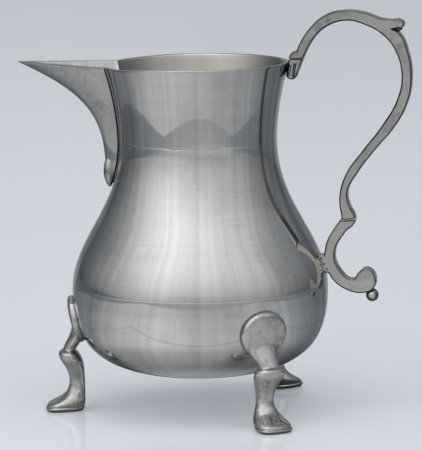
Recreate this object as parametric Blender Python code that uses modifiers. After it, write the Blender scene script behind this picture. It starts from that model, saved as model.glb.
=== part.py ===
"""Pewter creamer: a pear-shaped cream jug on three legs, with a beak spout and a scrolled handle.

It is soldered up from seven castings. The body is two turned castings that lap at the belly, and
the spout, the handle and the three legs are seated on its outside.

Metres, +Z up. The handle points along +X and the spout along -X. The origin is on the surface that
the jug stands on, under the middle of its overall length and width.
"""

import math

import bmesh
import bpy
from mathutils import Matrix, Vector
from mathutils.geometry import interpolate_bezier

# Body: heights are above the surface that the jug stands on
RIM_RADIUS = 0.02705
RIM_HEIGHT = 0.104
NECK_RADIUS = 0.0232
NECK_HEIGHT = 0.081
BELLY_RADIUS = 0.038
BELLY_HEIGHT = 0.0367
BASE_HEIGHT = 0.011
WALL = 0.0016

# Body: how far the profile keeps its direction from each of those places
RIM_FLARE_IN = 0.0015
RIM_FLARE_DOWN = 0.005
NECK_RUN_UP = 0.008
NECK_RUN_DOWN = 0.020
BELLY_RUN_UP = 0.015
BELLY_RUN_DOWN = 0.0192
BASE_RUN_OUT = 0.0284

# Seam: the lower casting has a tongue that stands inside a lip of the upper one
SEAM_ABOVE_BELLY = 0.0015
LAP = 0.0024

# Space left for solder between one casting and the next
CLEARANCE = 0.0003

# Spout: a beak of V section that ends in a bead; its places are measured down from the rim, and
# its width grows with the height above the throat to the power of the spread
SPOUT_REACH = 0.02725
SPOUT_TOP_WIDTH = 0.016
SPOUT_WALL = 0.0011
SPOUT_KEEL_ROUNDING = 0.0007
SPOUT_SPREAD = 1.2
SPOUT_BLANK_RADIUS = 0.0116
THROAT_DROP = 0.027
THROAT_STAND_OFF = 0.0046
THROAT_WIDTH = 0.0034
TIP_RUN_IN = 0.015
TIP_RUN_DOWN = 0.0069
THROAT_RUN_OUT = 0.0012
THROAT_RUN_UP = 0.0143
TROUGH_DEPTH = 0.0255
BEAD_DROP = 0.0325
BEAD_STAND_OFF = 0.0019
BEAD_DEPTH = 0.005
BEAD_WIDTH = 0.0044
BEAD_HEIGHT = 0.0092
SPOUT_TAIL_STAND_OFF = 0.0032

# Handle: a flat strap, cast to an outline in the plane through the spout
HANDLE_THICKNESS = 0.0048
HANDLE_EDGE_ROUNDING = 0.0007
LUG_DROP = 0.0595
BUD_RADIUS = 0.00175

# Where the bud hangs from the lower scroll's head, and how far its middle is from there
SCROLL_FOOT = (0.0141, 0.0668)
BUD_INWARDS = 0.0006
BUD_DOWN = 0.0022

# Handle outline: how far out from the straight line between its two seats, how far below the rim, and
# whether the outline turns a corner there
HANDLE_OUTLINE = (
    # Back of the terminal, cut to the wall, and the knuckle that stands up beside the rim
    (-0.0028, 0.0045, True),
    (-0.0020, 0.0010, True),
    (0.0008, 0.0002, True),
    (0.0010, -0.0006, False),
    (0.0009, -0.0020, False),
    (0.0015, -0.0028, False),
    (0.0029, -0.0032, True),
    # Outer edge of the upper scroll, up to the spur
    (0.0040, -0.0050, False),
    (0.0085, -0.0105, False),
    (0.0134, -0.0140, False),
    (0.0193, -0.0153, False),
    (0.0249, -0.0147, False),
    (0.0300, -0.0129, False),
    (0.0325, -0.0125, False),
    # Spur and the notch under it
    (0.0348, -0.0125, True),
    (0.0361, -0.0114, False),
    (0.0343, -0.0098, True),
    (0.0326, -0.0100, True),
    # Outer edge, down to the break between the scrolls
    (0.0342, -0.0088, False),
    (0.0360, -0.0026, False),
    (0.0357, 0.0045, False),
    (0.0333, 0.0116, False),
    (0.0285, 0.0186, False),
    (0.0214, 0.0257, False),
    (0.0152, 0.0324, False),
    (0.0112, 0.0382, False),
    (0.0112, 0.0431, False),
    (0.0122, 0.0464, True),
    # Lower scroll, round its head and back along its underside
    (0.0085, 0.0502, False),
    (0.0043, 0.0565, False),
    (0.0051, 0.0616, False),
    (0.0087, 0.0644, True),
    (0.0104, 0.0621, False),
    (0.0131, 0.0608, False),
    (0.0152, 0.0634, False),
    (*SCROLL_FOOT, False),
    (0.0106, 0.0682, False),
    (0.0060, 0.0673, False),
    (0.0024, 0.0644, False),
    # Lug that seats on the belly
    (0.0015, 0.0624, True),
    (-0.0028, 0.0620, True),
    (-0.0020, 0.0570, True),
    (0.0013, 0.0570, True),
    # Inner edge, back up to the terminal
    (0.0032, 0.0528, False),
    (0.0061, 0.0488, False),
    (0.0085, 0.0460, True),
    (0.0084, 0.0400, False),
    (0.0113, 0.0332, False),
    (0.0178, 0.0257, False),
    (0.0250, 0.0180, False),
    (0.0304, 0.0106, False),
    (0.0327, 0.0042, False),
    (0.0323, -0.0030, False),
    (0.0294, -0.0080, False),
    (0.0247, -0.0110, False),
    (0.0193, -0.0123, False),
    (0.0137, -0.0108, False),
    (0.0089, -0.0071, False),
    (0.0016, 0.0037, True),
    (0.0001, 0.0045, True),
)

# Legs: where each stands around the body, in degrees from the handle
LEG_AZIMUTHS = {"leg_near": -52.5, "leg_far": 60.8, "leg_spout_side": 189.0}

# Legs: the round pad that seats on the belly
PAD_BELOW_BELLY = 0.0087
PAD_RADIUS = 0.0069
PAD_THICKNESS = 0.0013
PAD_BLANK_LENGTH = 0.020

# Legs: level ovals from the ground up. Each has its height, how far its front stands out from the
# belly's radius, its depth from front to back, its width, and how much wider its front is
FOOT_OVALS = {
    "sole": (0, 0.0085, 0.0113, 0.0096, 0.30),
    "sole_edge": (0.0010, 0.0085, 0.0113, 0.0096, 0.30),
    "welt": (0.0011, 0.0082, 0.0107, 0.0092, 0.28),
    "toe": (0.0021, 0.0066, 0.0093, 0.0094, 0.18),
    "instep": (0.0033, 0.0044, 0.0072, 0.0086, 0.08),
}
ANKLE_OVALS = {
    "arch": (0.0050, 0.0022, 0.0051, 0.0068, 0),
    "ankle": (0.0088, 0.0010, 0.0038, 0.0050, 0),
    "shin": (0.0120, 0.0019, 0.0045, 0.0053, 0),
}
# The upper ovals are placed by how far they are below the middle of the pad
KNEE_OVALS = {
    "calf": (0.0139, 0.0031, 0.0055, 0.0061, 0),
    "under_knee": (0.0123, 0.0041, 0.0062, 0.0067, 0),
    "knee": (0.0110, 0.0043, 0.0060, 0.0067, 0),
    "crook": (0.0096, 0.0033, 0.0040, 0.0058, 0),
    "hip": (0.0064, 0.0014, 0.0062, 0.0064, 0),
    "haunch": (0.0030, 0.0008, 0.0090, 0.0090, 0),
    "seat": (0, 0.0009, 0.0100, 0.0104, 0),
}
FOOT_BLUNTNESS = 0.3
LEG_BLUNTNESS = 0.1

# How finely round shapes are faceted
BODY_STEPS = 48
PROFILE_STEPS = 6
OUTLINE_STEPS = 3
EDGE_STEPS = 1
SPOUT_SHARES = (-1, -0.5, -0.2, -0.08, 0, 0.08, 0.2, 0.5, 1)
LEG_SIDES = 16
PAD_SIDES = 28
BALL_SEGMENTS = 12
BALL_RINGS = 8

MERGE = 0.00001

# Colour and roughness of turned and of cast pewter
TURNED_PEWTER = ((0.55, 0.55, 0.53), 0.28)
CAST_PEWTER = ((0.50, 0.49, 0.45), 0.34)
TURNED_PIECES = ("body_upper", "body_lower")
SHARP_EDGE = math.radians(35)


def clear_scene():
    for obj in list(bpy.data.objects):
        bpy.data.objects.remove(obj, do_unlink=True)


def new_collection(name):
    collection = bpy.data.collections.new(name)
    bpy.context.scene.collection.children.link(collection)
    return collection


def pewter(name, colour, roughness):
    """A pewter finish: turned or filed, and then polished."""
    material = bpy.data.materials.new(name)
    material.use_nodes = True
    shader = material.node_tree.nodes["Principled BSDF"]
    shader.inputs["Base Color"].default_value = (*colour, 1)
    shader.inputs["Metallic"].default_value = 1
    shader.inputs["Roughness"].default_value = roughness
    material.diffuse_color = (*colour, 1)
    return material


def add_object(name, mesh, collection):
    obj = bpy.data.objects.new(name, mesh)
    collection.objects.link(obj)
    return obj


def hide(cutter):
    cutter.hide_render = True
    cutter.display_type = "WIRE"


def add_cutter(name, mesh, cutters):
    cutter = add_object(name, mesh, cutters)
    hide(cutter)
    return cutter


def mesh_of(name, builder):
    mesh = bpy.data.meshes.new(name)
    bmesh.ops.recalc_face_normals(builder, faces=builder.faces)
    builder.to_mesh(mesh)
    builder.free()
    return mesh


def combine(obj, operation, other):
    modifier = obj.modifiers.new(f"{operation.lower()} {other.name}", "BOOLEAN")
    modifier.operation = operation
    modifier.solver = "EXACT"
    modifier.object = other


def evaluated_mesh(obj, name):
    """The object's mesh with its modifiers applied, for a piece that is cut or copied."""
    bpy.context.view_layer.update()
    graph = bpy.context.evaluated_depsgraph_get()
    mesh = bpy.data.meshes.new_from_object(obj.evaluated_get(graph))
    mesh.name = name
    return mesh


def loft(rings):
    """A closed solid through rings of as many points each, from the first ring to the last."""
    builder = bmesh.new()
    rows = [[builder.verts.new(point) for point in ring] for ring in rings]
    for low, high in zip(rows, rows[1:]):
        for i in range(len(low)):
            builder.faces.new((low[i - 1], low[i], high[i], high[i - 1]))
    builder.faces.new(rows[0])
    builder.faces.new(rows[-1])
    return builder


# Body profile: (radius, height) points, from the rim down to the middle of the underside


def outer_profile():
    rim = Vector((RIM_RADIUS, RIM_HEIGHT))
    neck = Vector((NECK_RADIUS, NECK_HEIGHT))
    belly = Vector((BELLY_RADIUS, BELLY_HEIGHT))
    base = Vector((0, BASE_HEIGHT))
    flare = rim - Vector((RIM_FLARE_IN, RIM_FLARE_DOWN))
    above_neck = neck + Vector((0, NECK_RUN_UP))
    below_neck = neck - Vector((0, NECK_RUN_DOWN))
    above_belly = belly + Vector((0, BELLY_RUN_UP))
    below_belly = belly - Vector((0, BELLY_RUN_DOWN))
    round_base = base + Vector((BASE_RUN_OUT, 0))
    points = interpolate_bezier(rim, flare, above_neck, neck, PROFILE_STEPS)
    points += interpolate_bezier(neck, below_neck, above_belly, belly, 2 * PROFILE_STEPS)[1:]
    points += interpolate_bezier(belly, below_belly, round_base, base, 2 * PROFILE_STEPS)[1:]
    return points


def profile(depth):
    """The outer profile moved into the wall by depth, square to the surface; out of it if negative."""
    points = outer_profile()
    last = len(points) - 1
    moved = []
    for i, point in enumerate(points):
        along = (points[min(i + 1, last)] - points[max(i - 1, 0)]).normalized()
        outward = Vector((-along.y, along.x))
        moved.append(point - depth * outward)
    moved[0].y = min(moved[0].y, RIM_HEIGHT)
    moved[last].x = 0
    return moved


def radius_at(height, depth=0.0):
    points = profile(depth)
    for upper, lower in zip(points, points[1:]):
        if lower.y <= height <= upper.y:
            share = (height - lower.y) / (upper.y - lower.y)
            return lower.x + share * (upper.x - lower.x)
    return points[0].x if height > points[0].y else 0.0


def part_above(height, depth):
    end = Vector((radius_at(height, depth), height))
    return [point for point in profile(depth) if point.y > height + MERGE] + [end]


def part_below(height, depth):
    start = Vector((radius_at(height, depth), height))
    return [start] + [point for point in profile(depth) if point.y < height - MERGE]


def turned(name, points, closed, collection):
    """A turned piece: the profile, run down its outer side, swept round the Z axis."""
    builder = bmesh.new()
    verts = [builder.verts.new((point.x, 0, point.y)) for point in points]
    for start, end in zip(verts, verts[1:]):
        builder.edges.new((start, end))
    if closed:
        builder.edges.new((verts[-1], verts[0]))
    mesh = bpy.data.meshes.new(name)
    builder.to_mesh(mesh)
    builder.free()
    obj = add_object(name, mesh, collection)
    screw = obj.modifiers.new("turn", "SCREW")
    screw.axis = "Z"
    screw.angle = math.tau
    screw.steps = BODY_STEPS
    screw.render_steps = BODY_STEPS
    screw.use_merge_vertices = True
    screw.merge_threshold = MERGE
    screw.use_smooth_shade = True
    return obj


def make_body_envelope(cutters):
    """What the body fills, with the solder's clearance: it shapes the back of every seated casting."""
    top = RIM_HEIGHT + CLEARANCE
    outside = profile(-CLEARANCE)
    cap = [Vector((0, top)), Vector((outside[0].x, top))]
    envelope = turned("body_envelope", cap + outside, False, cutters)
    hide(envelope)
    return envelope


def make_body_upper(trough, parts):
    """Rim to belly. Its lower edge has a lip outside, and a rebate inside for the tongue."""
    seam = BELLY_HEIGHT + SEAM_ABOVE_BELLY
    lip = (WALL - CLEARANCE) / 2
    edge = seam + CLEARANCE / 2
    rebate = edge + LAP
    outside = part_above(edge, 0)
    inside = part_above(rebate, WALL)
    step = [Vector((radius_at(edge, lip), edge)), Vector((radius_at(rebate, lip), rebate))]
    body = turned("body_upper", outside + step + inside[::-1], True, parts)
    combine(body, "DIFFERENCE", trough)
    return body


def make_body_lower(parts):
    """The bowl. Its upper edge has a tongue, which stands inside the upper casting's lip."""
    seam = BELLY_HEIGHT + SEAM_ABOVE_BELLY
    tongue = (WALL + CLEARANCE) / 2
    edge = seam - CLEARANCE / 2
    top = edge + LAP
    outside = part_below(edge, 0)
    inside = part_below(top, WALL)
    step = [Vector((radius_at(top, tongue), top)), Vector((radius_at(edge, tongue), edge))]
    return turned("body_lower", inside[::-1] + step + outside, False, parts)


def keel_line():
    """(reach from the jug's axis, height) points along the spout's keel, from its throat to its tip."""
    throat_height = RIM_HEIGHT - THROAT_DROP
    throat = Vector((radius_at(throat_height) + THROAT_STAND_OFF, throat_height))
    tip = Vector((RIM_RADIUS + SPOUT_REACH, RIM_HEIGHT))
    above_throat = throat + Vector((THROAT_RUN_OUT, THROAT_RUN_UP))
    behind_tip = tip - Vector((TIP_RUN_IN, TIP_RUN_DOWN))
    return interpolate_bezier(throat, above_throat, behind_tip, tip, PROFILE_STEPS + 2)


def spout_section(keel, height, inset):
    """A level V with its point at the keel and its sides run back inside the body, inset by a wall."""
    rise = max((height - RIM_HEIGHT + THROAT_DROP) / THROAT_DROP, 0)
    half_width = (THROAT_WIDTH + (SPOUT_TOP_WIDTH - THROAT_WIDTH) * rise**SPOUT_SPREAD) / 2
    slope = half_width / (keel - radius_at(height))
    point = keel - inset * math.hypot(1, slope) / slope
    run = point - SPOUT_BLANK_RADIUS
    root = run * slope
    full = math.hypot(root, SPOUT_KEEL_ROUNDING) - SPOUT_KEEL_ROUNDING
    section = []
    for share in SPOUT_SHARES:
        side = root * share
        back = run * (math.hypot(side, SPOUT_KEEL_ROUNDING) - SPOUT_KEEL_ROUNDING) / full
        section.append(Vector((back - point, side, height)))
    return section


def make_trough(cutters):
    """The spout's channel, which also notches the body's wall behind it."""
    floor = RIM_HEIGHT - TROUGH_DEPTH
    line = [point for point in keel_line() if point.y > floor]
    sections = [spout_section(point.x, point.y, SPOUT_WALL) for point in line]
    over = [point + Vector((0, 0, 2 * SPOUT_WALL)) for point in sections[-1]]
    return add_cutter("spout_trough", mesh_of("spout_trough", loft(sections + [over])), cutters)


def make_spout(trough, envelope, parts, cutters):
    bead_height = RIM_HEIGHT - BEAD_DROP
    tail = spout_section(radius_at(bead_height) + SPOUT_TAIL_STAND_OFF, bead_height, 0)
    sections = [tail] + [spout_section(point.x, point.y, 0) for point in keel_line()]
    spout = add_object("spout", mesh_of("spout", loft(sections)), parts)

    builder = bmesh.new()
    bmesh.ops.create_uvsphere(builder, u_segments=BALL_SEGMENTS, v_segments=2 * BALL_RINGS, radius=0.5)
    size = Matrix.Diagonal((BEAD_DEPTH, BEAD_WIDTH, BEAD_HEIGHT, 1))
    place = Matrix.Translation((-radius_at(bead_height) - BEAD_STAND_OFF, 0, bead_height))
    bmesh.ops.transform(builder, matrix=place @ size, verts=builder.verts)
    bead = add_cutter("spout_bead", mesh_of("spout_bead", builder), cutters)

    combine(spout, "UNION", bead)
    combine(spout, "DIFFERENCE", trough)
    combine(spout, "DIFFERENCE", envelope)
    return spout


def handle_point(out, down):
    """A point of the handle's plane, from its distance out from the line between the seats and its drop."""
    lug_radius = radius_at(RIM_HEIGHT - LUG_DROP)
    seat_line = RIM_RADIUS + (lug_radius - RIM_RADIUS) * down / LUG_DROP
    return Vector((seat_line + out, RIM_HEIGHT - down))


def make_handle_strap(parts):
    """The outline as a flat curve with rounded edges, made a mesh and stood up in the XZ plane."""
    curve = bpy.data.curves.new("handle_outline", "CURVE")
    curve.dimensions = "2D"
    curve.fill_mode = "BOTH"
    curve.resolution_u = OUTLINE_STEPS
    curve.extrude = HANDLE_THICKNESS / 2 - HANDLE_EDGE_ROUNDING
    curve.bevel_depth = HANDLE_EDGE_ROUNDING
    curve.bevel_resolution = EDGE_STEPS
    curve.offset = -HANDLE_EDGE_ROUNDING
    spline = curve.splines.new("BEZIER")
    spline.bezier_points.add(len(HANDLE_OUTLINE) - 1)
    spline.use_cyclic_u = True
    for point, (out, down, corner) in zip(spline.bezier_points, HANDLE_OUTLINE):
        place = handle_point(out, down)
        point.co = (place.x, place.y, 0)
        point.handle_left_type = "VECTOR" if corner else "AUTO"
        point.handle_right_type = "VECTOR" if corner else "AUTO"
    outline = bpy.data.objects.new("handle_outline", curve)
    parts.objects.link(outline)
    mesh = evaluated_mesh(outline, "handle")
    bpy.data.objects.remove(outline)

    builder = bmesh.new()
    builder.from_mesh(mesh)
    bmesh.ops.remove_doubles(builder, verts=builder.verts, dist=MERGE)
    bmesh.ops.rotate(builder, matrix=Matrix.Rotation(math.pi / 2, 3, "X"), verts=builder.verts)
    return add_object("handle", mesh_of("handle", builder), parts)


def make_handle(envelope, parts, cutters):
    handle = make_handle_strap(parts)
    place = handle_point(*SCROLL_FOOT) - Vector((BUD_INWARDS, BUD_DOWN))
    builder = bmesh.new()
    bmesh.ops.create_uvsphere(builder, u_segments=BALL_SEGMENTS, v_segments=BALL_RINGS, radius=BUD_RADIUS)
    bmesh.ops.translate(builder, vec=(place.x, 0, place.y), verts=builder.verts)
    bud = add_cutter("handle_bud", mesh_of("handle_bud", builder), cutters)
    combine(handle, "UNION", bud)
    combine(handle, "DIFFERENCE", envelope)
    return handle


def blunted(value, bluntness):
    return math.copysign(abs(value) ** (1 - bluntness), value)


def leg_oval(bluntness, height, reach, depth, width, taper):
    """A level oval across a leg that stands under +X, with its four corners filled out by bluntness."""
    front = BELLY_RADIUS + reach
    ring = []
    for i in range(LEG_SIDES):
        angle = math.tau * i / LEG_SIDES
        along = blunted(math.cos(angle), bluntness)
        across = blunted(math.sin(angle), bluntness) * (1 + taper * along)
        ring.append(Vector((front - depth / 2 * (1 - along), width / 2 * across, height)))
    return ring


def make_leg_shank():
    """Sole, slipper foot, ankle, knee and hip, up to the middle of the pad."""
    pad_height = BELLY_HEIGHT - PAD_BELOW_BELLY
    ovals = [leg_oval(FOOT_BLUNTNESS, *sizes) for sizes in FOOT_OVALS.values()]
    ovals += [leg_oval(LEG_BLUNTNESS, *sizes) for sizes in ANKLE_OVALS.values()]
    ovals += [leg_oval(LEG_BLUNTNESS, pad_height - below, *sizes) for below, *sizes in KNEE_OVALS.values()]
    return loft(ovals)


def make_leg_mesh(envelope, parts, cutters):
    """One leg, standing under +X: the shank joined to its pad, and both cut to the belly's curve."""
    pad_height = BELLY_HEIGHT - PAD_BELOW_BELLY
    outside = profile(-CLEARANCE - PAD_THICKNESS)
    pad_face = turned("pad_face", [Vector((0, RIM_HEIGHT))] + outside, False, cutters)
    hide(pad_face)

    rise = radius_at(pad_height + PAD_RADIUS) - radius_at(pad_height - PAD_RADIUS)
    lean = math.atan2(rise, 2 * PAD_RADIUS)
    builder = bmesh.new()
    bmesh.ops.create_cone(
        builder,
        cap_ends=True,
        segments=PAD_SIDES,
        radius1=PAD_RADIUS,
        radius2=PAD_RADIUS,
        depth=PAD_BLANK_LENGTH,
    )
    turn = Matrix.Rotation(math.pi / 2 + lean, 4, "Y")
    place = Matrix.Translation((radius_at(pad_height), 0, pad_height))
    bmesh.ops.transform(builder, matrix=place @ turn, verts=builder.verts)
    pad = add_cutter("pad_disc", mesh_of("pad_disc", builder), cutters)
    combine(pad, "INTERSECT", pad_face)

    leg = add_object("leg", mesh_of("leg", make_leg_shank()), parts)
    combine(leg, "UNION", pad)
    combine(leg, "DIFFERENCE", envelope)
    mesh = evaluated_mesh(leg, "leg")
    bpy.data.objects.remove(leg)
    return mesh


def make_legs(envelope, parts, cutters):
    mesh = make_leg_mesh(envelope, parts, cutters)
    legs = []
    for name, azimuth in LEG_AZIMUTHS.items():
        leg = add_object(name, mesh.copy(), parts)
        leg.data.name = name
        leg.rotation_euler.z = math.radians(azimuth)
        legs.append(leg)
    return legs


def centre_over_origin(pieces, parts):
    """Carries the pieces on one empty, which puts the middle of their length and width over the origin."""
    bpy.context.view_layer.update()
    graph = bpy.context.evaluated_depsgraph_get()
    corners = []
    for piece in pieces:
        placed = piece.evaluated_get(graph)
        corners += [placed.matrix_world @ vertex.co for vertex in placed.data.vertices]
    middle_x = (min(corner.x for corner in corners) + max(corner.x for corner in corners)) / 2
    middle_y = (min(corner.y for corner in corners) + max(corner.y for corner in corners)) / 2
    jug = bpy.data.objects.new("creamer", None)
    parts.objects.link(jug)
    jug.location = (-middle_x, -middle_y, 0)
    return jug


def finish(piece):
    """Gives the piece its own pewter and smooth shading."""
    colour, roughness = TURNED_PEWTER if piece.name in TURNED_PIECES else CAST_PEWTER
    piece.data.materials.clear()
    piece.data.materials.append(pewter(f"{piece.name}_pewter", colour, roughness))
    if piece.data.polygons:
        piece.data.shade_smooth()
        piece.data.set_sharp_from_angle(angle=SHARP_EDGE)


def main():
    clear_scene()
    parts = new_collection("pewter_creamer")
    cutters = new_collection("cutters")
    envelope = make_body_envelope(cutters)
    trough = make_trough(cutters)
    pieces = [
        make_body_upper(trough, parts),
        make_body_lower(parts),
        make_spout(trough, envelope, parts, cutters),
        make_handle(envelope, parts, cutters),
        *make_legs(envelope, parts, cutters),
    ]
    for piece in pieces:
        finish(piece)
    jug = centre_over_origin(pieces, parts)
    for obj in [*pieces, *cutters.objects]:
        obj.parent = jug


main()
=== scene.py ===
"""Looks of the pewter creamer: its seven castings as polished pewter, on a pale floor in soft light.

Metres, +Z up, in the frame of the CAD model. Pieces are shaped around the jug's own axis, with the
handle towards +X and the spout towards -X, and are then moved to where the axis stands in the frame.
"""

import math

import bmesh
import bpy
from mathutils import Matrix, Vector
from mathutils.geometry import interpolate_bezier


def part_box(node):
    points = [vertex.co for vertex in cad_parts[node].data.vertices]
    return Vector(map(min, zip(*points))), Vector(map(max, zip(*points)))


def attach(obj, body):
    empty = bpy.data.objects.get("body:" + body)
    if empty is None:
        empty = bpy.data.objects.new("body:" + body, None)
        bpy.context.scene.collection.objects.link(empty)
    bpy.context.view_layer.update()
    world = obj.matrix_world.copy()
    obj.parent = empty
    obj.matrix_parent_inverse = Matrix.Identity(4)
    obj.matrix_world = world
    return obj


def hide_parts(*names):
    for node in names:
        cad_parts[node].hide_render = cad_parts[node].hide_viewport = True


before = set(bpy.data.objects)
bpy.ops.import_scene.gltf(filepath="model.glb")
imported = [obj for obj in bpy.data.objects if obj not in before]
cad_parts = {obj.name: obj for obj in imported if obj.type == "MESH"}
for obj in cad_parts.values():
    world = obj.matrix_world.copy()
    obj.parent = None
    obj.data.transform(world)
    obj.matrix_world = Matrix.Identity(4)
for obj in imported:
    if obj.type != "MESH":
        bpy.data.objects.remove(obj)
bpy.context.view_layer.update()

# Body, as in the CAD model. Each run is how far a curve of the profile heads straight on from its end.
RIM_RADIUS = 0.02705
RIM_HEIGHT = 0.104
NECK_RADIUS = 0.0232
NECK_HEIGHT = 0.081
BELLY_RADIUS = 0.038
BELLY_HEIGHT = 0.0367
BASE_HEIGHT = 0.011
WALL = 0.0016
RIM_FLARE_IN = 0.0015
RIM_FLARE_DOWN = 0.005
NECK_RUN_UP = 0.008
NECK_RUN_DOWN = 0.020
BELLY_RUN_UP = 0.015
BELLY_RUN_DOWN = 0.0192
BASE_RUN_OUT = 0.0284
SEAM_HEIGHT = BELLY_HEIGHT + 0.0015

# Body: the soldered seam is a hairline with a plain ring of wall on either side, and the wall thins
# towards the rim, whose edges are rounded
SEAM_GAP = 0.00002
SEAM_ROUNDING = 0.00004
SEAM_GUARD = 0.00025
RIM_WALL = 0.0011
RIM_ROUNDING = 0.00038
RIM_TAPER = 0.012

# Body: the fine line around the neck, as (above its middle, depth), the plain wall kept free beside it,
# and how it wanders, as (height, waves around the neck, start)
NECK_LINE_HEIGHT = NECK_HEIGHT - 0.0003
NECK_LINE = ((0.0003, 0), (0.00014, 0), (0, 0.00004), (-0.00014, 0), (-0.0003, 0))
NECK_LINE_ROOM = 0.0006
NECK_LINE_WAVES = ((0.00012, 5, 0.6), (0.00012, 13, 2.0), (0.00008, 23, 1.0))

# Body: the V cut through the wall behind the spout, and how far the rim sinks beside it
NOTCH_HALF_WIDTH = 0.0066
NOTCH_BOTTOM = RIM_HEIGHT - 0.0245
DIP_NEAR = 0.0011
DIP_FAR = 0.00035
DIP_HEIGHT = 0.014
DIP_START = math.radians(15)
DIP_END = math.radians(85)

# Spout: a V that spreads towards the rim, with a keel from the throat to the tip, sunk a little in the
# wall, and the channel inside it
SPOUT_TIP_REACH = RIM_RADIUS + 0.02725
SPOUT_TOP_WIDTH = 0.016
SPOUT_WALL = 0.0011
SPOUT_SPREAD = 1.3
SPOUT_BULGE = 0.5
SPOUT_SINK = 0.0008
SPOUT_EDGE_ROUNDING = 0.00022
KEEL_ROUNDING = 0.0006
CHANNEL_ROUNDING = 0.0004
THROAT_HEIGHT = RIM_HEIGHT - 0.027
THROAT_STAND_OFF = 0.0049
THROAT_WIDTH = 0.0036
THROAT_RUN = (0.0012, 0.0143)
TIP_RUN = (0.015, 0.0069)
CHANNEL_BOTTOM = RIM_HEIGHT - 0.0255

# Spout: its two edges beside the wall stand off it, and step in to it as (share of the way to the
# wall, share of the step)
FLANGE_STAND_OFF = 0.0011
THROAT_FLANGE_STAND_OFF = 0.00095
FLANGE_STEP = 0.0009
FLANGE_SECTION = ((0.08, 0.06), (0.15, 0.22), (0.20, 0.50), (0.24, 0.80), (0.28, 0.97), (1, 1))

# Spout: the tail under the throat as (height, stand-off, width), and the drop that hangs before it
SPOUT_TAIL = (
    (RIM_HEIGHT - 0.0362, 0.0013, 0.0012),
    (RIM_HEIGHT - 0.0340, 0.0028, 0.0022),
    (RIM_HEIGHT - 0.0310, 0.0039, 0.0030),
    (RIM_HEIGHT - 0.0288, 0.0045, 0.0034),
)
BEAD_HEIGHT = RIM_HEIGHT - 0.0328
BEAD_STAND_OFF = 0.0024
BEAD_SIZE = (0.0036, 0.0037, 0.0092)
BEAD_POINT = 0.3

# Handle: a strap cast to an outline in the plane through the spout
HANDLE_THICKNESS = 0.0048
HANDLE_EDGE_ROUNDING = 0.00045
LUG_DROP = 0.0595
SCROLL_FOOT = (0.0141, 0.0668)
BUD_SIZE = (0.0038, 0.0036, 0.0039)
BUD_INWARDS = 0.0006
BUD_DOWN = 0.0022

# Handle outline: how far out from the straight line between its two seats, how far below the rim, and
# whether the outline turns a corner there
HANDLE_OUTLINE = (
    # Back of the terminal, and the knuckle that stands up beside the rim
    (-0.0011, 0.0042, False),
    (-0.0006, 0.0022, False),
    (0.0001, 0.0000, False),
    (0.0005, -0.0012, False),
    (0.0008, -0.0020, False),
    (0.0013, -0.0027, False),
    (0.0021, -0.0031, False),
    (0.0031, -0.0034, True),
    # Outer edge of the upper scroll, up to the spur
    (0.0041, -0.0052, False),
    (0.0085, -0.0105, False),
    (0.0134, -0.0140, False),
    (0.0193, -0.0153, False),
    (0.0249, -0.0147, False),
    (0.0300, -0.0129, False),
    (0.0325, -0.0126, False),
    # Spur and the notch under it
    (0.0347, -0.0127, False),
    (0.0361, -0.0115, False),
    (0.0350, -0.0101, False),
    (0.0340, -0.0101, True),
    (0.0327, -0.0098, True),
    # Outer edge, down to the break between the scrolls
    (0.0342, -0.0088, False),
    (0.0360, -0.0026, False),
    (0.0357, 0.0045, False),
    (0.0333, 0.0116, False),
    (0.0285, 0.0186, False),
    (0.0214, 0.0257, False),
    (0.0152, 0.0324, False),
    (0.0112, 0.0382, False),
    (0.0112, 0.0426, False),
    (0.0121, 0.0450, False),
    (0.0119, 0.0471, False),
    # Lower scroll, round its head and back along its underside
    (0.0085, 0.0502, False),
    (0.0043, 0.0565, False),
    (0.0051, 0.0616, False),
    (0.0084, 0.0641, False),
    (0.0104, 0.0621, False),
    (0.0131, 0.0608, False),
    (0.0152, 0.0634, False),
    (*SCROLL_FOOT, False),
    (0.0106, 0.0682, False),
    (0.0060, 0.0673, False),
    (0.0024, 0.0644, False),
    # Lug that seats on the belly
    (0.0015, 0.0624, True),
    (-0.0006, 0.0620, True),
    (-0.0013, 0.0570, True),
    (0.0010, 0.0570, True),
    # Inner edge, back up to the terminal
    (0.0026, 0.0528, False),
    (0.0055, 0.0488, False),
    (0.0081, 0.0459, True),
    (0.0084, 0.0400, False),
    (0.0113, 0.0332, False),
    (0.0178, 0.0257, False),
    (0.0250, 0.0180, False),
    (0.0304, 0.0106, False),
    (0.0327, 0.0042, False),
    (0.0323, -0.0030, False),
    (0.0294, -0.0080, False),
    (0.0247, -0.0110, False),
    (0.0193, -0.0123, False),
    (0.0137, -0.0108, False),
    (0.0089, -0.0071, False),
    (0.0024, 0.0030, False),
    (0.0016, 0.0044, False),
    (0.0004, 0.0050, False),
)

# Handle: grooves filed across its faces, each from and to a place on the outline, with its radius, and
# how far below the face their middle line lies
HANDLE_GROOVES = (
    ((0.0076, 0.0466), (0.0126, 0.0462), 0.00055),
    ((0.0003, -0.0010), (0.0050, -0.0012), 0.00042),
    ((0.0006, 0.0006), (-0.0005, 0.0040), 0.00055),
    ((0.0021, 0.0002), (0.0009, 0.0043), 0.00055),
)
GROOVE_SINK = 0.0003

# Handle: the small pits in its lug
LUG_PITS = ((0.0001, 0.0580), (0.0006, 0.0596), (0.0012, 0.0612))
LUG_PIT_RADIUS = 0.0003

# Handle: small lumps of the casting behind its outline, as (place, size): the seat on the wall, and the
# web in the notch under the spur
HANDLE_LUMPS = (
    ((0.0003, 0.0026), (0.0030, 0.0030, 0.0036)),
    ((0.0336, -0.0099), (0.0032, 0.0028, 0.0016)),
)

# Legs: degrees around the jug from the handle, and how far each one's knee was set off to one side
LEGS = {"leg_near": (-52.5, 0.0008), "leg_far": (60.8, 0.0), "leg_spout_side": (189.0, 0.0)}

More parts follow.
